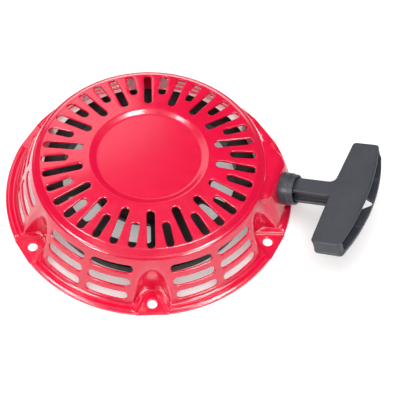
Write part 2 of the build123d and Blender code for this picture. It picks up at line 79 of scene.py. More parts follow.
def make_camera():
    camera = bpy.data.objects.new("camera", bpy.data.cameras.new("camera"))
    bpy.context.scene.collection.objects.link(camera)
    camera.data.lens = CAMERA_LENS
    camera.data.sensor_width = CAMERA_SENSOR
    camera.data.clip_start, camera.data.clip_end = 0.01, 10.0
    camera.matrix_world = Matrix.Translation(CAMERA_AT) @ look(CAMERA_TURN, CAMERA_TILT, CAMERA_ROLL)
    bpy.context.scene.camera = camera


def softbox(name, place, size, power):
    """A rectangular light that points at the object."""
    data = bpy.data.lights.new(name, "AREA")
    data.shape = "RECTANGLE"
    data.size, data.size_y = size
    data.energy = power
    light = bpy.data.objects.new(name, data)
    bpy.context.scene.collection.objects.link(light)
    light.location = place
    light.rotation_mode = "QUATERNION"
    light.rotation_quaternion = (Vector(LIGHT_AIM) - Vector(place)).to_track_quat("-Z", "Y")
    return light


def make_light():
    scene = bpy.context.scene
    scene.view_settings.view_transform = "Standard"
    world = bpy.data.worlds.new("studio")
    world.use_nodes = True
    background = world.node_tree.nodes["Background"]
    background.inputs["Color"].default_value = (1.0, 1.0, 1.0, 1.0)
    background.inputs["Strength"].default_value = WORLD_STRENGTH
    scene.world = world
    fill = softbox("fill", *FILL_LIGHT)
    fill.visible_glossy = False
    softbox("back_panel", *BACK_LIGHT)
    for name, settings in STRIPS.items():
        strip = softbox(name, *settings)
        strip.visible_diffuse = False


def make_floor():
    """A plain pale sheet that glows a little, so that shadows on it stay light."""
    mesh = bpy.data.meshes.new("floor")
    corners = [(x * FLOOR_HALF, y * FLOOR_HALF, 0) for x, y in ((-1, -1), (1, -1), (1, 1), (-1, 1))]
    mesh.from_pydata(corners, [], [(0, 1, 2, 3)])
    floor = bpy.data.objects.new("floor", mesh)
    bpy.context.scene.collection.objects.link(floor)
    floor.location.z = -FLOOR_DROP
    paper = bpy.data.materials.new("floor_paper")
    paper.use_nodes = True
    shader = paper.node_tree.nodes["Principled BSDF"]
    shader.inputs["Base Color"].default_value = (0.93, 0.93, 0.93, 1.0)
    shader.inputs["Roughness"].default_value = 0.85
    shader.inputs["Specular IOR Level"].default_value = 0.2
    shader.inputs["Emission Color"].default_value = (1.0, 0.99, 0.97, 1.0)
    shader.inputs["Emission Strength"].default_value = FLOOR_GLOW
    mesh.materials.append(paper)


make_camera()
make_light()
make_floor()


# ---------------------------------------------------------------- materials
class Nodes:
    """Short names for the nodes that the materials are made of."""

    def __init__(self, name):
        self.material = bpy.data.materials.new(name)
        self.material.use_nodes = True
        self.tree = self.material.node_tree
        self.shader = self.tree.nodes["Principled BSDF"]
        self.place = self.add("ShaderNodeTexCoord").outputs["Object"]

    def add(self, kind):
        return self.tree.nodes.new(kind)

    def link(self, source, target):
        self.tree.links.new(source, target)

    def constant(self, **values):
        for name, value in values.items():
            self.shader.inputs[name.replace("_", " ")].default_value = value

    def stretched(self, scale):
        """Coordinates scaled by a different amount along each axis."""
        mapping = self.add("ShaderNodeMapping")
        mapping.inputs["Scale"].default_value = scale
        self.link(self.place, mapping.inputs["Vector"])
        return mapping.outputs["Vector"]

    def noise(self, scale, detail=3.0, rough=0.5, vector=None):
        node = self.add("ShaderNodeTexNoise")
        node.inputs["Scale"].default_value = scale
        node.inputs["Detail"].default_value = detail
        node.inputs["Roughness"].default_value = rough
        self.link(vector or self.place, node.inputs["Vector"])
        return node.outputs["Fac"]

    def spread(self, value, low, high, start=0.3, stop=0.7):
        """A value between start and stop becomes one between low and high."""
        node = self.add("ShaderNodeMapRange")
        node.inputs["From Min"].default_value = start
        node.inputs["From Max"].default_value = stop
        node.inputs["To Min"].default_value = low
        node.inputs["To Max"].default_value = high
        self.link(value, node.inputs["Value"])
        return node.outputs["Result"]

    def blend(self, factor, first, second):
        """A colour between two colours, each given as a colour or as an output."""
        node = self.add("ShaderNodeMix")
        node.data_type = "RGBA"
        self.link(factor, node.inputs["Factor"])
        for value, socket in ((first, node.inputs[6]), (second, node.inputs[7])):
            if isinstance(value, tuple):
                socket.default_value = value + (1.0,)
            else:
                self.link(value, socket)
        return node.outputs[2]

    def bump(self, height, distance, strength=1.0, normal=None):
        node = self.add("ShaderNodeBump")
        node.inputs["Distance"].default_value = distance
        node.inputs["Strength"].default_value = strength
        self.link(height, node.inputs["Height"])
        if normal is not None:
            self.link(normal, node.inputs["Normal"])
        return node.outputs["Normal"]

    def use(self, socket, output):
        self.link(output, self.shader.inputs[socket])


def edge_wear(n, amount):
    """Where the surface is worn at its sharp edges, from the mesh's own convexity."""
    geometry = n.add("ShaderNodeNewGeometry")
    return n.spread(geometry.outputs["Pointiness"], 0.0, amount, 0.53, 0.62)


def enamel():
    """Red baked enamel over pressed steel, with orange peel and a few dust specks."""
    n = Nodes("case_enamel")
    n.constant(Metallic=0.0, IOR=1.5, Specular_IOR_Level=0.5, Coat_Weight=0.85, Coat_Roughness=0.12)
    tone = n.blend(n.spread(n.noise(38.0), 0.0, 1.0), (0.84, 0.0, 0.045), (0.9, 0.001, 0.056))
    speck = n.spread(n.noise(900.0, 1.0), 0.0, 0.5, 0.745, 0.78)
    n.use("Base Color", n.blend(speck, tone, (0.95, 0.18, 0.2)))
    n.use("Roughness", n.spread(n.noise(160.0), 0.16, 0.27))
    peel = n.bump(n.noise(520.0, 2.0), 0.00006, 0.5)
    n.use("Normal", n.bump(n.noise(70.0, 2.0), 0.00025, 0.35, peel))
    return n.material


def moulded(name, dark, light, rough, grain):
    """Moulded plastic with a fine grain and slight wear on its edges."""
    n = Nodes(name)
    n.constant(Metallic=0.0, IOR=1.48)
    tone = n.blend(n.spread(n.noise(55.0), 0.0, 1.0), dark, light)
    worn = tuple(min(1.0, c * 1.8 + 0.02) for c in light)
    n.use("Base Color", n.blend(edge_wear(n, 0.5), tone, worn))
    n.use("Roughness", n.spread(n.noise(240.0), rough - 0.06, rough + 0.08))
    n.use("Normal", n.bump(n.noise(grain, 3.0, 0.6), 0.00006, 0.55))
    return n.material


def steel(name, dark, light, rough, streaks=(90.0, 90.0, 900.0)):
    """Bright or oiled steel with fine streaks and a few darker stains."""
    n = Nodes(name)
    n.constant(Metallic=1.0)
    stains = n.spread(n.noise(120.0, 4.0), 0.0, 1.0)
    n.use("Base Color", n.blend(stains, dark, light))
    fine = n.noise(1.0, 3.0, 0.6, n.stretched(streaks))
    n.use("Roughness", n.spread(fine, rough - 0.08, rough + 0.1))
    n.use("Normal", n.bump(fine, 0.00002, 0.4))
    return n.material


def braid():
    """Braided nylon: two sets of threads that cross, with fine fibres."""
    n = Nodes("rope_braid")
    n.constant(Metallic=0.0, Sheen_Weight=0.35, Sheen_Roughness=0.5, Subsurface_Weight=0.06)
    waves = []
    for turn in (0.72, -0.72):
        mapping = n.add("ShaderNodeMapping")
        mapping.inputs["Rotation"].default_value = (turn, turn * 0.6, math.radians(PULL_TURN) + turn)
        n.link(n.place, mapping.inputs["Vector"])
        wave = n.add("ShaderNodeTexWave")
        wave.wave_type = "BANDS"
        wave.inputs["Scale"].default_value = 330.0
        wave.inputs["Distortion"].default_value = 0.6
        n.link(mapping.outputs["Vector"], wave.inputs["Vector"])
        waves.append(wave.outputs["Fac"])
    both = n.add("ShaderNodeMath")
    both.operation = "MAXIMUM"
    n.link(waves[0], both.inputs[0])
    n.link(waves[1], both.inputs[1])
    crossing = both.outputs["Value"]
    n.use("Base Color", n.blend(n.spread(crossing, 0.0, 1.0, 0.2, 0.9), (0.55, 0.55, 0.52), (0.9, 0.9, 0.88)))
    n.use("Roughness", n.spread(n.noise(600.0), 0.6, 0.85))
    n.use("Normal", n.bump(crossing, 0.0003, 0.8, n.bump(n.noise(2500.0, 2.0), 0.00005, 0.5)))
    return n.material


RED = enamel()
GRIP = moulded("grip_plastic", (0.038, 0.043, 0.056), (0.052, 0.057, 0.072), 0.42, 1500.0)
BLACK = moulded("reel_plastic", (0.006, 0.006, 0.007), (0.011, 0.011, 0.012), 0.45, 1100.0)
ZINC = steel("zinc_steel", (0.48, 0.47, 0.44), (0.66, 0.66, 0.64), 0.34)
SPRING = steel("spring_steel", (0.2, 0.21, 0.23), (0.34, 0.35, 0.37), 0.3)
PAWL = steel("pawl_steel", (0.3, 0.29, 0.27), (0.45, 0.44, 0.42), 0.38)
ROPE = braid()


# ---------------------------------------------------------------- small helpers
def turned(x, y, angle):
    """The point x, y turned about Z by an angle in degrees."""
    a = np.radians(angle)
    return x * np.cos(a) - y * np.sin(a), x * np.sin(a) + y * np.cos(a)


def lengths(line):
    """The way along a line of points to each of them."""
    return np.concatenate([[0], np.cumsum(np.linalg.norm(np.diff(line, axis=0), axis=1))])


def ring_faces(low, high):
    """Quads between two closed rings of points."""
    return [(a, b, c, d) for a, b, c, d in zip(low, high, high[1:] + high[:1], low[1:] + low[:1])]


def piece(name, points, faces, material, body, node=None):
    """A smooth shaded mesh from points in millimetres that rides on a body and stands for a CAD node."""
    mesh = bpy.data.meshes.new(name)
    mesh.from_pydata([tuple(p) for p in np.asarray(points, float) * MM], [], faces)
    mesh.validate()
    mesh.materials.append(material)
    mesh.shade_smooth()
    made = bpy.data.objects.new(name, mesh)
    bpy.context.scene.collection.objects.link(made)
    if body:
        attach(made, body)
    if node:
        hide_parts(node)
    return made


def face_outwards(made):
    """Turns every face of a closed mesh outwards."""
    form = bmesh.new()
    form.from_mesh(made.data)
    bmesh.ops.recalc_face_normals(form, faces=form.faces)
    form.to_mesh(made.data)
    form.free()


def sharpen(made, angle):
    """Edges that turn by more than the angle, in degrees, stay crisp."""
    form = bmesh.new()
    form.from_mesh(made.data)
    for edge in form.edges:
        if len(edge.link_faces) == 2:
            edge.smooth = edge.calc_face_angle() < math.radians(angle)
    form.to_mesh(made.data)
    form.free()


def refined(node, material, body, width, segments=2):
    """The CAD node's own shape with its sharp edges rounded, in a new piece that stands for it."""
    form = bmesh.new()
    form.from_mesh(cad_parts[node].data)
    bmesh.ops.remove_doubles(form, verts=form.verts, dist=2e-6)
    bmesh.ops.dissolve_limit(form, angle_limit=math.radians(0.8), verts=form.verts, edges=form.edges)
    sharp = [e for e in form.edges if len(e.link_faces) == 2 and e.calc_face_angle() > math.radians(38)]
    bmesh.ops.bevel(form, geom=sharp, offset=width * MM, segments=segments, profile=0.5, affect="EDGES",
                    clamp_overlap=True)
    bmesh.ops.triangulate(form, faces=[f for f in form.faces if len(f.verts) > 4])
    mesh = bpy.data.meshes.new(node + "_shape")
    form.to_mesh(mesh)
    form.free()
    mesh.materials.clear()
    mesh.materials.append(material)
    mesh.shade_smooth()
    made = bpy.data.objects.new(node + "_shape", mesh)
    bpy.context.scene.collection.objects.link(made)
    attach(made, body)
    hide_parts(node)
    sharpen(made, 35)
    return made


# ---------------------------------------------------------------- case
SHEET = 1.5
FLANGE_R, FLANGE_TOP = 110.0, 2.2
FOOT_R = 102.8
CONE_TOP_R, CONE_TOP_Z = 88.3, 35.4
LEDGE = (86.6, 38.9)
TOP_CORNERS = [(0.0, 43.6), (39.3, 43.6), (43.8, 45.5), (80.6, 42.3), (84.6, 39.6), LEDGE,
               (CONE_TOP_R, CONE_TOP_Z)]
TOP_FILLETS = [3.0, 2.6, 3.5, 1.6, 2.2]
TILT = math.atan2(FOOT_R - CONE_TOP_R, CONE_TOP_Z - FLANGE_TOP)
CONE_FROM_Z = 37.6              # below this height the side is found by its distance from the axis
HOLES = [60.0 * k - 90.0 for k in range(6)]
HOLE_PCD_R, HOLE_R = 101.1, 3.6
POCKET_CENTRE_R, POCKET_R, POCKET_ROUND = 101.4, 12.4, 2.6
MARCH_FROM_R, MARCH_STEPS, MARCH_SHARE = 122.0, 90, 0.8

# The flange: a lip rolled up between the tabs, and in each tab a sunk pad that widens outwards.
LIP_START_R, LIP_WIDE, LIP_HIGH, LIP_ROLL = 104.2, 4.6, 1.0, 0.72
RIM_LOW, ROLL_SHARE = 0.05, 0.66
PAD_TOP, PAD_HALF, PAD_START, PAD_SPREAD = 1.5, 2.6, 90.5, 0.52
TAB_TOP, TAB_HALF = FLANGE_TOP + 0.35, 13.6
TAB_EDGE, TAB_EDGE_HALF = 109.8, 12.1

# The pressed box round the rope exit: u runs along the rope's line seen from above, v to its side.
EXIT_U, EXIT_V, EXIT_Z = 97.9, 26.6, 22.2
EXIT_NEAR_V, EXIT_FAR_V = 5.0, 46.0
EXIT_BACK_U = 45.0
FAR_WALL_U, FAR_WALL_FACING = 88.0, (0.34, 0.94)
LID_U, LID_Z, LID_SLOPE = 80.0, 39.4, 0.335
WALL_ROUND, LID_ROUND, BOX_BLEND = 5.0, 3.0, 4.0
EXIT_HOLE_R = 9.2

rise = math.radians(PULL_RISE)
pull = Vector((*turned(math.cos(rise), 0.0, PULL_TURN), math.sin(rise)))
side = Vector((*turned(0.0, 1.0, PULL_TURN), 0.0))
up = pull.cross(side)
exit_point = Vector((*turned(EXIT_U, EXIT_V, PULL_TURN), EXIT_Z))


def on_pull(distance, sideways=0.0, height=0.0):
    """A point given by its place along the rope's line and off it."""
    return exit_point + pull * distance + side * sideways + up * height


def rounded(corners, radii, step=0.35, each=None):
    """Points along a polyline with its inner corners rounded; each fixes the count of points on an arc."""
    line = [np.array(corners[0], float)]
    for before, corner, after, radius in zip(corners, corners[1:], corners[2:], radii):
        before, corner, after = (np.array(p, float) for p in (before, corner, after))
        back, ahead = before - corner, after - corner
        back, ahead = back / np.linalg.norm(back), ahead / np.linalg.norm(ahead)
        half = math.acos(np.clip(back @ ahead, -1, 1)) / 2
        reach = radius / math.tan(half)
        centre = corner + (back + ahead) / np.linalg.norm(back + ahead) * radius / math.sin(half)
        start, stop = corner + back * reach - centre, corner + ahead * reach - centre
        sweep = math.pi - 2 * half
        count = each or max(3, int(sweep * radius / step) + 1)
        for share in np.linspace(0, 1, count):
            mix = (math.sin((1 - share) * sweep) * start + math.sin(share * sweep) * stop) / math.sin(sweep)
            line.append(centre + mix)
    line.append(np.array(corners[-1], float))
    return np.array(line)


top_line = rounded(TOP_CORNERS, TOP_FILLETS)
top_line = top_line[top_line[:, 1] > CONE_FROM_Z]
lowest_share = (LEDGE[1] - CONE_FROM_Z) / (LEDGE[1] - CONE_TOP_Z)
top_line = np.vstack([top_line, [LEDGE[0] + lowest_share * (CONE_TOP_R - LEDGE[0]), CONE_FROM_Z]])
top_steps = lengths(top_line)

# The skin is laid out flat as a disc: rho is the way along the skin from the centre.
FOOT_BEND, BEND_WAY = 1.7, 3.0
FLANGE_WIDE = 6.4
RIM_ROUND, RIM_WAY = 1.3, 3.0
CONE_END_Z = FLANGE_TOP + FOOT_BEND
RHO_CONE = top_steps[-1]
RHO_FOOT = RHO_CONE + (CONE_FROM_Z - CONE_END_Z) / math.cos(TILT)
RHO_FLANGE = RHO_FOOT + BEND_WAY
RHO_RIM = RHO_FLANGE + FLANGE_WIDE
RHO_END = RHO_RIM + RIM_WAY


def smooth_step(x, low, high):
    """Rises softly from 0 at low to 1 at high."""
    t = np.clip((x - low) / (high - low), 0, 1)
    return t * t * (3 - 2 * t)


def both_round(a, b, radius):
    """Signed distance to what two solids share, with a round edge."""
    past = np.hypot(np.maximum(a + radius, 0), np.maximum(b + radius, 0))
    return np.minimum(-radius, np.maximum(a, b)) + past


def either_round(a, b, radius):
    """Signed distance to two joined solids, with a round inner corner."""
    short = np.hypot(np.maximum(radius - a, 0), np.maximum(radius - b, 0))
    return np.maximum(radius, np.minimum(a, b)) - short


def angle_off(angle, centre):
    """The angle from a centre, from -180 to 180 degrees."""
    return (angle - centre + 180) % 360 - 180


def nearest_hole(angle):
    """The angle from the nearest mounting hole, in degrees."""
    return (angle - HOLES[0] + 30.0) % 60.0 - 30.0


def exit_box(x, y, z):
    """Signed distance to the pressed box round the rope exit."""
    u, v = turned(x, y, -PULL_TURN)
    front = (u - EXIT_U) * math.cos(rise) + (z - EXIT_Z) * math.sin(rise)
    near = EXIT_NEAR_V - v
    far = (v - EXIT_FAR_V) * FAR_WALL_FACING[1] + (u - FAR_WALL_U) * FAR_WALL_FACING[0]
    lid = (z - LID_Z + (u - LID_U) * LID_SLOPE) / math.hypot(1, LID_SLOPE)
    walls = both_round(both_round(front, near, WALL_ROUND), far, WALL_ROUND)
    return np.maximum(both_round(walls, lid, LID_ROUND), EXIT_BACK_U - u)


def side_distance(angle, radius, z):
    """Signed distance to the skin of the case's side."""
    x, y = turned(radius, 0.0, angle)
    cone = (radius - CONE_TOP_R) * math.cos(TILT) + (z - CONE_TOP_Z) * math.sin(TILT)
    shoulder = math.atan2(LEDGE[1] - CONE_TOP_Z, CONE_TOP_R - LEDGE[0])
    face = (radius - CONE_TOP_R) * math.sin(shoulder) + (z - CONE_TOP_Z) * math.cos(shoulder)
    shell = np.maximum(cone, face)
    soft = 0.01 + BOX_BLEND * smooth_step(CONE_FROM_Z - z, 0.0, BOX_BLEND)
    shell = either_round(shell, exit_box(x, y, z), soft)
    off = np.radians(nearest_hole(angle))
    along, across = radius * np.cos(off) - POCKET_CENTRE_R, radius * np.sin(off)
    pocket = np.where(along < 0, np.hypot(along, across), np.abs(across)) - POCKET_R
    return both_round(shell, -pocket, POCKET_ROUND)


def side_radius(angle, z):
    """The distance of the case's side from the axis, found by stepping inwards to the skin."""
    radius = np.full(np.shape(angle), MARCH_FROM_R)
    for _ in range(MARCH_STEPS):
        radius = radius - MARCH_SHARE * side_distance(angle, radius, z)
    return radius


def flange_height(angle, radius):
    """Height of the flange's upper face, and 1 inside a tab: a rolled lip between tabs, a pad in each."""
    off = np.radians(nearest_hole(angle))
    x, y = radius * np.cos(off), np.abs(radius * np.sin(off))
    roll = np.clip((radius - LIP_START_R) / LIP_WIDE, 0, 1)
    lip = FLANGE_TOP + LIP_HIGH * np.sin(np.pi * roll * LIP_ROLL) ** 2
    pad_half = PAD_HALF + np.maximum(x - PAD_START, 0) * PAD_SPREAD
    pad = smooth_step(pad_half - y, -0.5, 0.7)
    tab = TAB_TOP - (TAB_TOP - PAD_TOP) * pad
    in_tab = smooth_step(-y, -TAB_HALF - 1.0, -TAB_HALF + 1.0)
    return lip + (tab - lip) * in_tab, in_tab


def flange_edge(off):
    """The flange's outer radius: a circle, with a straight edge across each tab."""
    chord = TAB_EDGE / np.cos(off)
    edge = np.where(np.abs(off) < math.atan2(TAB_EDGE_HALF, TAB_EDGE), chord, FLANGE_R)
    return FLANGE_R + (edge - FLANGE_R) * smooth_step(-np.abs(np.degrees(off)), -7.2, -6.2)


def flange_skin(angle, rho):
    """Radius and height of the skin past the cone: the foot's bend, the flange and its rolled rim."""
    start = side_radius(angle, np.full(angle.shape, CONE_END_Z))
    corner = side_radius(angle, np.full(angle.shape, FLANGE_TOP))
    edge = flange_edge(np.radians(nearest_hole(angle)))
    inner_end = corner + FOOT_BEND
    outer_end = edge - RIM_ROUND

    t = np.clip((rho - RHO_FOOT) / (RHO_FLANGE - RHO_FOOT), 0, 1)
    foot_z, _ = flange_height(angle, inner_end)
    bend_r = (1 - t) ** 2 * start + 2 * t * (1 - t) * corner + t * t * inner_end
    bend_z = (1 - t) ** 2 * CONE_END_Z + 2 * t * (1 - t) * foot_z + t * t * foot_z

    t = np.clip((rho - RHO_FLANGE) / (RHO_RIM - RHO_FLANGE), 0, 1)
    flat_r = inner_end + t * (outer_end - inner_end)
    flat_z, _ = flange_height(angle, flat_r)

    t = np.clip((rho - RHO_RIM) / (RHO_END - RHO_RIM), 0, 1)
    rim_z, in_tab = flange_height(angle, outer_end)
    turn = np.minimum(t / ROLL_SHARE, 1.0) * (math.pi / 2)
    drop = np.minimum(RIM_ROUND, rim_z * 0.6)
    lowest = RIM_LOW + in_tab * 0.3
    rolled_r = outer_end + (edge - outer_end) * np.sin(turn)
    rolled_z = rim_z - drop * (1 - np.cos(turn))
    tail = np.clip((t - ROLL_SHARE) / (1 - ROLL_SHARE), 0, 1)
    rolled_z = rolled_z + (np.minimum(lowest, rolled_z) - rolled_z) * tail

    radius = np.where(rho <= RHO_FLANGE, bend_r, np.where(rho <= RHO_RIM, flat_r, rolled_r))
    z = np.where(rho <= RHO_FLANGE, bend_z, np.where(rho <= RHO_RIM, flat_z, rolled_z))
    return radius, z


def skin(angle, rho):
    """Points of the outer skin for angles in degrees and ways along the skin in millimetres."""
    angle, rho = np.asarray(angle, float), np.asarray(rho, float)
    radius = np.interp(rho, top_steps, top_line[:, 0])
    z = np.interp(rho, top_steps, top_line[:, 1])
    on_cone = (rho > RHO_CONE) & (rho <= RHO_FOOT)
    down = np.clip((rho - RHO_CONE) / (RHO_FOOT - RHO_CONE), 0, 1)
    cone_z = CONE_FROM_Z + down * (CONE_END_Z - CONE_FROM_Z)
    radius = np.where(on_cone, side_radius(angle, cone_z), radius)
    z = np.where(on_cone, cone_z, z)
    below = rho > RHO_FOOT
    if below.any():
        radius[below], z[below] = flange_skin(angle[below], rho[below])
    x, y = turned(radius, 0.0, angle)
    return np.stack([x, y, z], axis=-1)


def skin_normal(angle, rho):
    """Unit normals of the outer skin, from two short steps along it."""
    step = 0.12
    inside = np.clip(rho, step, RHO_END - step)
    turn = np.degrees(step / np.maximum(inside, 2.0))
    along = skin(angle, inside + step) - skin(angle, inside - step)
    across = skin(angle + turn, inside) - skin(angle - turn, inside)
    normal = np.cross(along, across)
    return normal / np.maximum(np.linalg.norm(normal, axis=-1, keepdims=True), 1e-9)


def flat(angle, rho):
    """The skin's points laid out on a plane."""
    a = np.radians(angle)
    return np.stack([rho * np.cos(a), rho * np.sin(a)], axis=-1)


class Opening:
    """A rounded hole in the skin, its outline given as angles and ways along the skin."""

    def __init__(self, outline, centre, gap):
        self.outline = outline          # outline(offset) -> angle, rho
        self.centre = centre            # (angle, rho)
        self.gap = gap                  # gap(angle, rho) -> distance outside the hole's own edge


RIM = 0.75                      # how far the rounding of an edge reaches, on both sides of the sheet
CAP_STEPS = 9
FAR_AWAY = 99.0
POCKET_REACH, BOX_FROM, BOX_TO = 10.2, 333, 22      # angles where the side's mesh is fine
HOLE_REACH = 32.0                                   # no hole reaches further from its centre
SLOT_WIDTH, SIDE_HEIGHT = 5.8, 6.6
LONG_SLOT, SHORT_SLOT = (49.7, 79.8), (59.9, 79.8)                      # inner and outer end
SIDE_ROWS = [(29.8, 1.6, 21.6), (19.0, 1.6, 20.7), (8.3, 1.6, 19.8)]    # height, first and last angle
VENTED_PANELS = [60, 120, 180, 240, 300]


def stadium(length, width, offset, side_steps):
    """A slot's outline as two coordinates, along it and across it."""
    half, reach = width / 2 + offset, (length - width) / 2
    along, across = [], []
    for sign in (1, -1):
        for t in np.linspace(-90, 90, CAP_STEPS):
            along.append(sign * (reach + half * math.cos(math.radians(t))))
            across.append(sign * half * math.sin(math.radians(t)))
        for t in np.linspace(0, 1, side_steps + 2)[1:-1]:
            along.append(sign * reach * (1 - 2 * t))
            across.append(sign * half)
    return np.array(along), np.array(across)


def stadium_gap(along, across, length, width):
    """Distance outside a slot's edge."""
    reach = (length - width) / 2
    return np.hypot(np.maximum(np.abs(along) - reach, 0), across) - width / 2


def top_slot(angle, inner, outer):
    """A slot of the vented ring, along a radius."""
    length, middle = outer - inner, (outer + inner) / 2

    def outline(offset):
        along, across = stadium(length, SLOT_WIDTH, offset, int(length / 2))
        radius = np.hypot(middle + along, across)
        turn = np.degrees(np.arctan2(across, middle + along))
        return angle + turn, np.interp(radius, top_line[:, 0], top_steps)

    def gap(a, rho):
        radius = np.interp(rho, top_steps, top_line[:, 0])
        off = np.radians(angle_off(a, angle))
        away = stadium_gap(radius * np.cos(off) - middle, radius * np.sin(off), length, SLOT_WIDTH)
        return np.where(rho < RHO_CONE, away, FAR_AWAY)

    return Opening(outline, (angle, np.interp(middle, top_line[:, 0], top_steps)), gap)


def cone_rho(z):
    """The way along the skin to a height on the cone."""
    return RHO_CONE + (CONE_FROM_Z - z) / (CONE_FROM_Z - CONE_END_Z) * (RHO_FOOT - RHO_CONE)


def side_slot(first, last, z):
    """A slot of the cone, round the axis from one angle to another."""
    rho = cone_rho(z)
    radius = FOOT_R - (z - FLANGE_TOP) * math.tan(TILT)
    angle, length = (first + last) / 2, math.radians(last - first) * radius

    def outline(offset):
        along, across = stadium(length, SIDE_HEIGHT, offset, int(length / 2))
        return angle + np.degrees(along / radius), rho + across

    def gap(a, p):
        off = np.radians(angle_off(a, angle))
        return stadium_gap(off * radius, p - rho, length, SIDE_HEIGHT)

    return Opening(outline, (angle, rho), gap)


def flange_rho(angle, off, radius):
    """The way along the skin to a radius on a tab's flat part, off radians from the tab's middle."""
    inner = side_radius(angle, np.full(angle.shape, FLANGE_TOP)) + FOOT_BEND
    outer = TAB_EDGE / np.cos(off) - RIM_ROUND
    return RHO_FLANGE + (radius - inner) / (outer - inner) * (RHO_RIM - RHO_FLANGE)


def bolt_hole(angle):
    """The round hole of a tab."""

    def outline(offset):
        t = np.radians(np.linspace(0, 360, 29)[:-1])
        x, y = HOLE_PCD_R + (HOLE_R + offset) * np.cos(t), (HOLE_R + offset) * np.sin(t)
        off = np.arctan2(y, x)
        a = angle + np.degrees(off)
        return a, flange_rho(a, off, np.hypot(x, y))

    def gap(a, rho):
        result = np.full(rho.shape, FAR_AWAY)
        near = (np.abs(angle_off(a, angle)) < 8) & (rho > RHO_FOOT)
        points = skin(a[near], rho[near])
        x, y = turned(HOLE_PCD_R, 0.0, angle)
        result[near] = np.hypot(points[:, 0] - x, points[:, 1] - y) - HOLE_R
        return result

    middle = flange_rho(np.array([angle]), 0.0, HOLE_PCD_R)[0]
    return Opening(outline, (angle, middle), gap)


def rope_hole():
    """The round hole in the pressed box that the rope guide sits in."""

    def outline(offset):
        size = EXIT_HOLE_R + offset
        around = np.radians(np.linspace(0, 360, 49)[:-1])
        points = np.array([on_pull(0, size * math.cos(t), size * math.sin(t)) for t in around])
        return np.degrees(np.arctan2(points[:, 1], points[:, 0])), cone_rho(points[:, 2])

    def gap(a, rho):
        points = np.full(rho.shape + (3,), 999.0)
        near = (np.abs(angle_off(a, exit_angle)) < 14) & (rho > RHO_CONE) & (rho < RHO_FOOT)
        points[near] = skin(a[near], rho[near])
        return np.linalg.norm(points - np.array(exit_point), axis=-1) - EXIT_HOLE_R

    exit_angle = math.degrees(math.atan2(exit_point.y, exit_point.x))
    return Opening(outline, (exit_angle, cone_rho(exit_point.z)), gap)


def all_openings():
    """Every hole of the case."""
    openings = [top_slot(-90 + 20 * k, *LONG_SLOT) for k in range(18)]
    openings += [top_slot(-80 + 20 * k, *SHORT_SLOT) for k in range(18)]
    for panel in VENTED_PANELS:
        for z, first, last in SIDE_ROWS:
            openings.append(side_slot(panel + first, panel + last, z))
            openings.append(side_slot(panel - last, panel - first, z))
    openings += [bolt_hole(angle) for angle in HOLES]
    openings.append(rope_hole())
    return openings


def lay_points():
    """Angles and ways along the skin where its mesh has points: close together where the shape is fine."""
    rows = [(5.0, 24)] + [(rho, 48) for rho in (11.0, 18.0)]
    rows += [(rho, 72) for rho in (25.0, 31.0, 35.0)]
    rows += [(rho, 180) for rho in np.arange(37.2, 47.6, 0.55)]
    rows += [(rho, 240) for rho in np.arange(49.5, 79.0, 2.4)]
    rows += [(rho, 360) for rho in np.arange(80.0, RHO_CONE, 0.45)]
    angles, rhos = [np.array([0.0])], [np.array([0.0])]
    for rho, count in rows:
        angles.append(np.arange(count) * 360.0 / count)
        rhos.append(np.full(count, rho))

    side_rows = [np.linspace(RHO_CONE, RHO_FOOT, 52), np.linspace(RHO_FOOT, RHO_FLANGE, 6)[1:],
                 np.linspace(RHO_FLANGE, RHO_RIM, 14)[1:], np.linspace(RHO_RIM, RHO_END, 8)[1:]]

    def is_fine(angle):
        near_exit = (angle > BOX_FROM) | (angle < BOX_TO)
        return (np.abs(nearest_hole(angle)) < POCKET_REACH) | near_exit

    every, coarse = np.arange(0, 360, 0.35), np.arange(0, 360, 1.4)
    fine, coarse = every[is_fine(every)], coarse[~is_fine(coarse)]
    for k, rho in enumerate(np.concatenate(side_rows)):
        whole = rho > RHO_FOOT or k % 2 == 0
        here = np.concatenate([fine, coarse]) if whole else fine
        angles.append(here)
        rhos.append(np.full(here.shape, rho))
    return np.concatenate(angles), np.concatenate(rhos)


def clear_of(openings, angles, rhos):
    """Which points stay clear of every hole."""
    keep = np.ones(angles.shape, bool)
    for hole in openings:
        near = np.linalg.norm(flat(angles, rhos) - flat(*hole.centre), axis=-1) < HOLE_REACH
        index = np.flatnonzero(near & keep)
        keep[index[hole.gap(angles[index], rhos[index]) < RIM + 0.45]] = False
    return keep


def skin_triangles(angles, rhos, loops):
    """Triangles between the points of the skin, with none inside a hole."""
    edges = [(loop[k], loop[(k + 1) % len(loop)]) for loop in loops for k in range(len(loop))]
    plan = flat(angles, rhos)
    made = delaunay_2d_cdt([Vector(p) for p in plan], edges, [], 0, 1e-6)
    origin = [ids[0] if ids else -1 for ids in made[3]]
    triangles = np.array([[origin[v] for v in face] for face in made[2] if len(face) == 3])
    triangles = triangles[(triangles >= 0).all(axis=1)]
    loop_of = np.full(len(angles), -1)
    for k, loop in enumerate(loops):
        loop_of[loop] = k
    owners = loop_of[triangles]
    in_hole = (owners[:, 0] >= 0) & (owners[:, 0] == owners[:, 1]) & (owners[:, 1] == owners[:, 2])
    return triangles[~in_hole]


def hole_wall(hole, normal, loop, under, first):
    """Points and faces of a hole's wall: rounded from the outer skin, then straight to the inner one."""
    points, rings = [], [loop]
    for turn in (22.5, 45.0, 67.5, 90.0, None):
        offset = 0.0 if turn is None else RIM * (1 - math.sin(math.radians(turn)))
        depth = SHEET if turn is None else RIM * (1 - math.cos(math.radians(turn)))
        level = skin(*hole.outline(offset)) - depth * normal
        level[:, 2] = np.maximum(level[:, 2], 0.0)
        points.append(level)
        rings.append(list(range(first, first + len(loop))))
        first += len(loop)
    rings.append(under)
    return points, [face for low, high in zip(rings, rings[1:]) for face in ring_faces(low, high)]


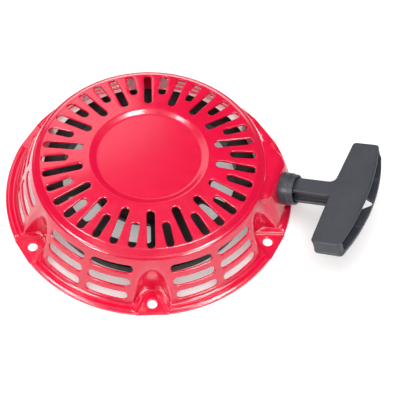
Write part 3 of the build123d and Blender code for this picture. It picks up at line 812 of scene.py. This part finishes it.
def starter_case():
    """The pressed sheet: its outer and inner skin, the walls of its holes and its rim."""
    openings = all_openings()
    angles, rhos = lay_points()
    keep = clear_of(openings, angles, rhos)
    angles, rhos = list(angles[keep]), list(rhos[keep])
    loops = []
    for hole in openings:
        a, p = hole.outline(RIM)
        loops.append(list(range(len(angles), len(angles) + len(a))))
        angles += list(a)
        rhos += list(p)
    angles, rhos = np.array(angles), np.array(rhos)
    triangles = skin_triangles(angles, rhos, loops)

    outer, normal = skin(angles, rhos), skin_normal(angles, rhos)
    inner = outer - SHEET * normal
    inner[:, 2] = np.maximum(inner[:, 2], 0.0)
    count = len(angles)
    points = [outer, inner]
    faces = [tuple(int(v) for v in t) for t in triangles]
    faces += [tuple(int(v) + count for v in t[::-1]) for t in triangles]
    total = 2 * count
    for hole, loop in zip(openings, loops):
        more, walls = hole_wall(hole, normal[loop], loop, [v + count for v in loop], total)
        points += more
        faces += walls
        total += sum(len(level) for level in more)
    rim = np.flatnonzero(rhos > RHO_END - 1e-6)
    rim = [int(v) for v in rim[np.argsort(angles[rim])]]
    faces += ring_faces(rim, [v + count for v in rim])
    case = piece("case_pressing", np.vstack(points), faces, RED, "case", "starter_case")
    face_outwards(case)
    sharpen(case, 50)


starter_case()


# ---------------------------------------------------------------- rope guide
GUIDE_OUTLINE = [(7.4, -5.0), (9.1, -5.0), (9.1, 0.05), (12.2, 0.05), (12.2, 7.4), (11.5, 7.9),
                 (11.5, 11.6), (9.9, 11.6), (9.9, 6.6), (3.4, 6.6), (3.4, 2.6)]
GUIDE_ROUNDS = [0.3, 0.3, 0.2, 0.35, 0.5, 0.3, 0.6, 0.5, 0.4, 1.2, 0.8]
GUIDE_STEPS = 96


def rope_guide():
    """The collar: a closed outline of (distance from the rope's line, distance along it) spun round it."""
    outline = rounded([GUIDE_OUTLINE[-1]] + GUIDE_OUTLINE + [GUIDE_OUTLINE[0]], GUIDE_ROUNDS, 0.25)[1:-1]
    count = len(outline)
    points, faces = [], []
    for k in range(GUIDE_STEPS):
        a = 2 * math.pi * k / GUIDE_STEPS
        away = side * math.cos(a) + up * math.sin(a)
        points += [tuple(exit_point + pull * h + away * r) for r, h in outline]
        following = (k + 1) % GUIDE_STEPS
        for j in range(count):
            m = (j + 1) % count
            faces.append((k * count + j, following * count + j, following * count + m, k * count + m))
    guide = piece("rope_guide_shape", points, faces, GRIP, "case", "rope_guide")
    face_outwards(guide)
    sharpen(guide, 40)


rope_guide()


# ---------------------------------------------------------------- grip
SHANK_START, SHANK_HALF = 7.0, 6.75
BAR_FAR, BAR_NEAR = 47.2, -49.6             # the bar's two ends, measured sideways
FAR_INNER, FAR_OUTER = 42.3, 62.2
NEAR_INNER, NEAR_OUTER = 39.6, 61.2
BAR_JOIN, BAR_CROWN = 40.0, 67.6
FAR_CORNER, NEAR_CORNER = 5.0, 2.0
JOIN_ROUND, OUTER_ROUND = 3.3, 3.0
GRIP_HALF, WEB_HIGH, WEB_LOW = 7.0, 5.0, -4.0       # the two plates end at the web's heights
TOP_EDGE, LOW_EDGE = 1.1, 1.0
LOW_CROWN = 2.4                                     # how much further out the lower plate's crown is
SIDE_RECESS, END_RECESS, END_START = 3.0, 0.25, 26.0
RIBS = (-45.6, -23.4, -21.6, -9.3, -7.5, 6.5, 8.3, 21.6, 23.4, 43.2)    # the cells' two sides in turn
CELL_START, GROOVE_START, CELL_END, RIB_SINK = 50.0, 61.0, 80.0, 0.9
ROPE_BORE, BORE_FROM, BORE_TO = 2.9, 2.0, 52.0
KNOT_HOLE = ((57.0, -1.5, 8.0), (66.4, -0.6, 3.0))  # distance out, sideways, radius


def grip_outline(crown):
    """The T seen from above, anticlockwise, as points with the same count for every crown."""
    near = [(SHANK_START, 0.0), (SHANK_START, -SHANK_HALF), (BAR_JOIN, -SHANK_HALF),
            (NEAR_INNER, BAR_NEAR), (NEAR_OUTER, BAR_NEAR)]
    far = [(SHANK_START, 0.0), (SHANK_START, SHANK_HALF), (BAR_JOIN, SHANK_HALF),
           (FAR_INNER, BAR_FAR), (FAR_OUTER, BAR_FAR)]
    middle = np.linspace(BAR_NEAR, BAR_FAR, 41)
    ends = np.interp(middle, (BAR_NEAR, BAR_FAR), (NEAR_OUTER, FAR_OUTER))
    half = (BAR_FAR - BAR_NEAR) / 2
    bow = 1 - ((middle - (BAR_FAR + BAR_NEAR) / 2) / half) ** 2
    crown_line = np.stack([ends + (crown - (NEAR_OUTER + FAR_OUTER) / 2) * bow, middle], axis=1)
    rounds = [OUTER_ROUND, OUTER_ROUND]
    lower = rounded(near + [crown_line[4]], [JOIN_ROUND, NEAR_CORNER] + rounds, each=12)[1:-1]
    upper = rounded(far + [crown_line[-5]], [JOIN_ROUND, FAR_CORNER] + rounds, each=12)[1:-1]
    return np.vstack([lower, crown_line[5:-5], upper[::-1]])


def moved_in(outline, inset):
    """The outline moved inwards along its own normals."""
    ahead = np.roll(outline, -1, axis=0) - np.roll(outline, 1, axis=0)
    normal = np.stack([-ahead[:, 1], ahead[:, 0]], axis=1)
    normal /= np.linalg.norm(normal, axis=1, keepdims=True)
    return outline + normal * inset


def grip_levels():
    """The skin of the grip as outlines at heights, from the top down."""
    top, low = grip_outline(BAR_CROWN), grip_outline(BAR_CROWN + LOW_CROWN)
    web = moved_in(grip_outline(BAR_CROWN + SIDE_RECESS), SIDE_RECESS)
    at_end = smooth_step(np.abs(top[:, 1]), END_START, END_START + 3.0)[:, None]
    web = web * (1 - at_end) + moved_in(grip_outline(BAR_CROWN + 1.0), END_RECESS) * at_end

    def edge(outline, height, radius, turns):
        """A plate's outer edge, rounded from its face to its side."""
        sink = math.copysign(radius, height)
        return [(moved_in(outline, radius * (1 - math.sin(math.radians(t)))),
                 height - sink * (1 - math.cos(math.radians(t)))) for t in turns]

    turns = (0, 22.5, 45, 67.5, 90)
    levels = edge(top, GRIP_HALF, TOP_EDGE, turns)
    levels.append((top, WEB_HIGH + 0.25))
    levels.append((moved_in(top, 0.25), WEB_HIGH))
    levels.append((moved_in(top, 0.25) * 0.2 + web * 0.8, WEB_HIGH - 0.02))
    levels.append((web, WEB_HIGH - 0.5))
    levels.append((web, WEB_LOW + 0.5))
    levels.append((moved_in(low, 0.25) * 0.2 + web * 0.8, WEB_LOW + 0.02))
    levels.append((moved_in(low, 0.3), WEB_LOW))
    levels.append((low, WEB_LOW - 0.3))
    return levels + edge(low, -GRIP_HALF, LOW_EDGE, turns[::-1])


def cap_faces(outline):
    """Triangles that fill an outline, and the points inside it that they use."""
    low, high = outline.min(axis=0), outline.max(axis=0)
    extra = [(u, v) for u in np.arange(low[0] + 2, high[0], 3.0) for v in np.arange(low[1] + 2, high[1], 3.0)]
    count = len(outline)

    def inside(point):
        a, b = outline, np.roll(outline, -1, axis=0)
        span = (a[:, 1] > point[1]) != (b[:, 1] > point[1])
        cross = (b[:, 0] - a[:, 0]) * (point[1] - a[:, 1]) / np.where(span, b[:, 1] - a[:, 1], 1) + a[:, 0]
        return (span & (point[0] < cross)).sum() % 2 == 1

    extra = [p for p in extra if inside(p) and np.linalg.norm(outline - p, axis=1).min() > 1.2]
    everything = [Vector(p) for p in outline] + [Vector(p) for p in extra]
    made = delaunay_2d_cdt(everything, [(k, (k + 1) % count) for k in range(count)], [], 1, 1e-6)
    origin = [ids[0] for ids in made[3]]
    return extra, [tuple(origin[v] for v in f) for f in made[2]]


def cutter_from(mesh):
    """An object that is only there to cut."""
    cutter = bpy.data.objects.new("cutter", mesh)
    bpy.context.scene.collection.objects.link(cutter)
    return cutter


def box_cutter(low, high):
    """A plain box in the grip's own directions, used to cut and then removed."""
    form = bmesh.new()
    corners = [form.verts.new(on_pull(u, v, w) * MM) for w in (low[2], high[2])
               for u, v in ((low[0], low[1]), (high[0], low[1]), (high[0], high[1]), (low[0], high[1]))]
    for face in ((0, 1, 2, 3), (7, 6, 5, 4), (0, 4, 5, 1), (1, 5, 6, 2), (2, 6, 7, 3), (3, 7, 4, 0)):
        form.faces.new([corners[k] for k in face])
    bmesh.ops.recalc_face_normals(form, faces=form.faces)
    uprights = [e for e in form.edges if abs((e.verts[0].co - e.verts[1].co).normalized().dot(up)) > 0.9]
    bmesh.ops.bevel(form, geom=uprights, offset=0.8 * MM, segments=3, profile=0.5, affect="EDGES")
    mesh = bpy.data.meshes.new("cutter")
    form.to_mesh(mesh)
    form.free()
    return cutter_from(mesh)


def knot_hole():
    """The hole under the middle cell by which the rope's knot is put in: a round one that narrows."""
    (x0, y0, r0), (x1, y1, r1) = KNOT_HOLE
    lean = math.atan2(y1 - y0, x1 - x0)
    open_by = math.acos((r0 - r1) / math.hypot(x1 - x0, y1 - y0))
    outline = []
    for t in np.linspace(lean - open_by, lean + open_by, 15):
        outline.append((x1 + r1 * math.cos(t), y1 + r1 * math.sin(t)))
    for t in np.linspace(lean + open_by, lean + 2 * math.pi - open_by, 31):
        outline.append((x0 + r0 * math.cos(t), y0 + r0 * math.sin(t)))
    count = len(outline)
    points = [on_pull(u, v, w) * MM for w in (-GRIP_HALF - 1.0, WEB_LOW + 0.5) for u, v in outline]
    faces = [tuple(range(count))[::-1], tuple(range(count, 2 * count))]
    faces += [(k, (k + 1) % count, (k + 1) % count + count, k + count) for k in range(count)]
    mesh = bpy.data.meshes.new("cutter")
    mesh.from_pydata(points, [], faces)
    cutter = cutter_from(mesh)
    face_outwards(cutter)
    return cutter


def cut(target, cutter):
    """Takes the cutter's shape away from the target, and the cutter from the scene."""
    modifier = target.modifiers.new("cut", "BOOLEAN")
    modifier.operation = "DIFFERENCE"
    modifier.solver = "EXACT"
    modifier.object = cutter
    deps = bpy.context.evaluated_depsgraph_get()
    result = bpy.data.meshes.new_from_object(target.evaluated_get(deps))
    target.modifiers.clear()
    target.data = result
    bpy.data.objects.remove(cutter)


def handle_grip():
    """The T grip: its levels joined into a skin, then its cells, rope bore and knot hole cut out."""
    levels = grip_levels()
    count = len(levels[0][0])
    points, faces = [], []
    for outline, height in levels:
        points += [tuple(on_pull(u, v, height)) for u, v in outline]
    for level in range(len(levels) - 1):
        rings = [list(range(start * count, (start + 1) * count)) for start in (level, level + 1)]
        faces += [(a, d, c, b) for a, b, c, d in ring_faces(*rings)]
    for level in (0, len(levels) - 1):
        outline, height = levels[level]
        extra, triangles = cap_faces(outline)
        start = len(points)
        points += [tuple(on_pull(u, v, height)) for u, v in extra]
        for t in triangles:
            faces.append(tuple(level * count + v if v < count else start + v - count for v in t))
    grip = piece("grip_shape", points, faces, GRIP, None)
    face_outwards(grip)
    floor, roof = WEB_LOW + 0.01, WEB_HIGH - 0.01
    for low, high in zip(RIBS[::2], RIBS[1::2]):
        cut(grip, box_cutter((CELL_START, low, floor), (CELL_END, high, roof)))
    cut(grip, box_cutter((GROOVE_START, RIBS[0] + RIB_SINK, floor + 0.02),
                         (CELL_END, RIBS[-1] - RIB_SINK, roof - 0.02)))
    cut(grip, box_cutter((BORE_FROM, -ROPE_BORE, -ROPE_BORE), (BORE_TO, ROPE_BORE, ROPE_BORE)))
    cut(grip, knot_hole())
    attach(grip, "handle")
    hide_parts("handle_grip")
    grip.data.shade_smooth()
    sharpen(grip, 42)


handle_grip()


# ---------------------------------------------------------------- rope
ROPE_R = 2.5
STRANDS, STRAND_LAY, TUBE_STEPS = 8, 9.0, 24
LAYER_IN, LAYER_OUT = 70.6, 75.56           # radii of the two layers on the reel
ROPE_LOW, ROPE_HIGH = 17.42, 22.38          # heights of the two turns of a layer
COIL_END_ANGLE, COIL_START_R = -68.0, 58.0
LEAVE_R, LEAVE_Z = LAYER_OUT + 0.3, 22.7    # where the rope leaves the reel
LEAD_BEND = 16.0
ROPE_OUT, LEAD_END = 58.0, 59.5
KNOT_AT, KNOT_LONG, KNOT_WIDE, KNOT_DEEP, KNOT_ROPE_R = 61.2, 1.9, 3.4, 1.6, 2.3


def tube(name, path, radius, body, node, relief):
    """A rope along a path: strands wind round it, and its two ends are closed."""
    path = np.array([tuple(p) for p in path], float)
    ahead = np.gradient(path, axis=0)
    ahead /= np.linalg.norm(ahead, axis=1, keepdims=True)
    way = lengths(path)
    first = np.cross(ahead[0], (0.0, 0.0, 1.0))
    if np.linalg.norm(first) < 0.1:
        first = np.cross(ahead[0], (1.0, 0.0, 0.0))
    frames = [first / np.linalg.norm(first)]
    for k in range(1, len(path)):
        moved = frames[-1] - ahead[k] * (frames[-1] @ ahead[k])
        frames.append(moved / np.linalg.norm(moved))
    points, faces, rings = [], [], []
    for k, centre in enumerate(path):
        other = np.cross(ahead[k], frames[k])
        rings.append(list(range(k * TUBE_STEPS, (k + 1) * TUBE_STEPS)))
        for j in range(TUBE_STEPS):
            a = 2 * math.pi * j / TUBE_STEPS
            left = math.cos(STRANDS * a / 2 + 2 * math.pi * way[k] / STRAND_LAY)
            right = math.cos(STRANDS * a / 2 - 2 * math.pi * way[k] / STRAND_LAY)
            size = radius - relief * (1 - max(abs(left), abs(right)) ** 0.7) - 0.02
            points.append(tuple(centre + size * (math.cos(a) * frames[k] + math.sin(a) * other)))
    for low, high in zip(rings, rings[1:]):
        faces += [(a, d, c, b) for a, b, c, d in ring_faces(low, high)]
    for ring, end, sign in ((rings[0], 0, -1), (rings[-1], -1, 1)):
        tip = len(points)
        points.append(tuple(path[end] + sign * 0.4 * ahead[end]))
        faces += [(a, b, tip) for a, b in zip(ring, ring[1:] + ring[:1])]
    made = piece(name, points, faces, ROPE, body, node)
    face_outwards(made)
    return made


def even(path, step):
    """Points evenly spaced along a dense path."""
    path = np.array([tuple(p) for p in path], float)
    way = lengths(path)
    at = np.linspace(0, way[-1], max(4, int(way[-1] / step)))
    return np.stack([np.interp(at, way, path[:, k]) for k in range(3)], axis=1)


corner = on_pull(-3.0)
leave_angle = math.degrees(math.atan2(corner.y, corner.x))
leave_angle += math.degrees(math.acos(LEAVE_R / math.hypot(corner.x, corner.y)))
leave_point = Vector((*turned(LEAVE_R, 0.0, leave_angle), LEAVE_Z))


def coil_path():
    """From the reel's hub out to the groove: two turns inside, low then high, and the rest outside."""

    def shift(turns, at):
        """Rises from 0 to 1 in a fifth of a turn."""
        return 0.5 - 0.5 * math.cos(math.pi * min(max((turns - at) / 0.2, 0), 1))

    points = [Vector((*turned(r - 3, 0.0, COIL_END_ANGLE), ROPE_LOW)) for r in (COIL_START_R, LAYER_IN)]
    total = (leave_angle + 1.0 - COIL_END_ANGLE) % 360 + 3 * 360
    for t in np.arange(6, total - 2, 2.0):
        high, out, high_again = (shift(t / 360.0, at) for at in (0.9, 1.9, 2.9))
        z = ROPE_LOW + (ROPE_HIGH - ROPE_LOW) * (high - out + high_again)
        r = LAYER_IN + (LAYER_OUT - LAYER_IN) * out
        points.append(Vector((*turned(r, 0.0, COIL_END_ANGLE + t), z)))
    return points


def rope_lead():
    """From the reel straight to the guide, round a bend, and out along the pull to the knot."""
    line = rounded([tuple(leave_point), tuple(corner), tuple(on_pull(ROPE_OUT))], [LEAD_BEND], 1.0)
    lead = even(line, 1.2)
    in_case = lead[[(Vector(p) - exit_point).dot(pull) < -0.5 for p in lead]]
    beyond = [tuple(on_pull(d)) for d in np.arange(0.2, LEAD_END, 0.45)]
    rope = tube("rope_lead_shape", np.vstack([in_case, beyond]), ROPE_R, None, "rope_lead", 0.12)
    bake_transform(rope)


def knot_path():
    """A figure of eight pulled tight against the washer in the grip's middle cell."""
    return [on_pull(KNOT_AT + KNOT_LONG * math.sin(t), KNOT_WIDE * math.cos(t),
                    KNOT_DEEP * math.sin(2 * t) + 0.4) for t in np.linspace(0, 2 * math.pi, 60)]


tube("rope_on_reel", even(coil_path(), 1.6), ROPE_R, "reel", "rope_coil", 0.16)
rope_lead()
tube("rope_knot", knot_path(), KNOT_ROPE_R, "handle", None, 0.14)


# ---------------------------------------------------------------- the other pieces
refined("reel", BLACK, "reel", 0.35)
refined("ratchet_guide", BLACK, "ratchet_guide", 0.35)
refined("recoil_spring", SPRING, "reel", 0.1, 1)
refined("center_post", ZINC, "case", 0.25)
refined("spring_hook", ZINC, "case", 0.15)
refined("thrust_washer", ZINC, "case", 0.12)
refined("screw_washer", ZINC, "case", 0.15)
refined("center_screw", ZINC, "case", 0.2)
refined("guide_clip", SPRING, "case", 0.12)
refined("knot_washer", ZINC, "handle", 0.15)
for letter in "ab":
    refined("pawl_" + letter, PAWL, "pawl_" + letter, 0.3)
    refined("pawl_spring_" + letter, SPRING, "reel", 0.05, 1)
refined("friction_spring", SPRING, "ratchet_guide", 0.05, 1)
